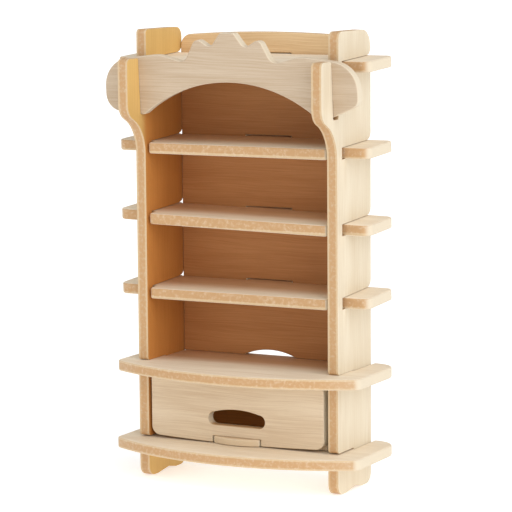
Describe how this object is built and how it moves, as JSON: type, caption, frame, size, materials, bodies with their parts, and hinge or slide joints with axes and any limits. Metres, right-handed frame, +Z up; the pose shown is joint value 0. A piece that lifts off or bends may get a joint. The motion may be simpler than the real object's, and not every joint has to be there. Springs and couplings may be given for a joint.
{
  "type": "miniature bookcase",
  "caption": "Dolls house bookcase slotted together from flat plywood boards, with open shelves, a carved crown board and a drawer under a bow-fronted shelf.",
  "frame": {"origin": "middle of the bookcase's footprint, on the surface it stands on", "axes": "+Z up, the open front faces -Y, +X to the right seen from the front"},
  "size_m": [0.0772, 0.0362, 0.1245],
  "materials": {
    "side_ply": "satin",
    "crown_ply": "satin",
    "shelf_ply": "satin",
    "bow_board_ply": "satin",
    "panel_ply": "satin",
    "drawer_front_ply": "satin",
    "drawer_box_ply": "satin"
  },
  "bodies": {
    "case": {"side_left": "side_ply", "side_right": "side_ply", "crown_board": "crown_ply", "shelf_top": "shelf_ply", "shelf_1": "shelf_ply", "shelf_2": "shelf_ply", "shelf_3": "shelf_ply", "shelf_wide": "bow_board_ply", "base_board": "bow_board_ply", "back_panel": "panel_ply"},
    "drawer": {"drawer_front": "drawer_front_ply", "drawer_bottom": "drawer_box_ply", "drawer_side_left": "drawer_box_ply", "drawer_side_right": "drawer_box_ply", "drawer_back": "drawer_box_ply"}
  },
  "joints": [
    {"name": "drawer_slide", "type": "slide", "parent": "case", "child": "drawer", "axis": [0, -1, 0], "range_m": [0, 0.015]}
  ]
}
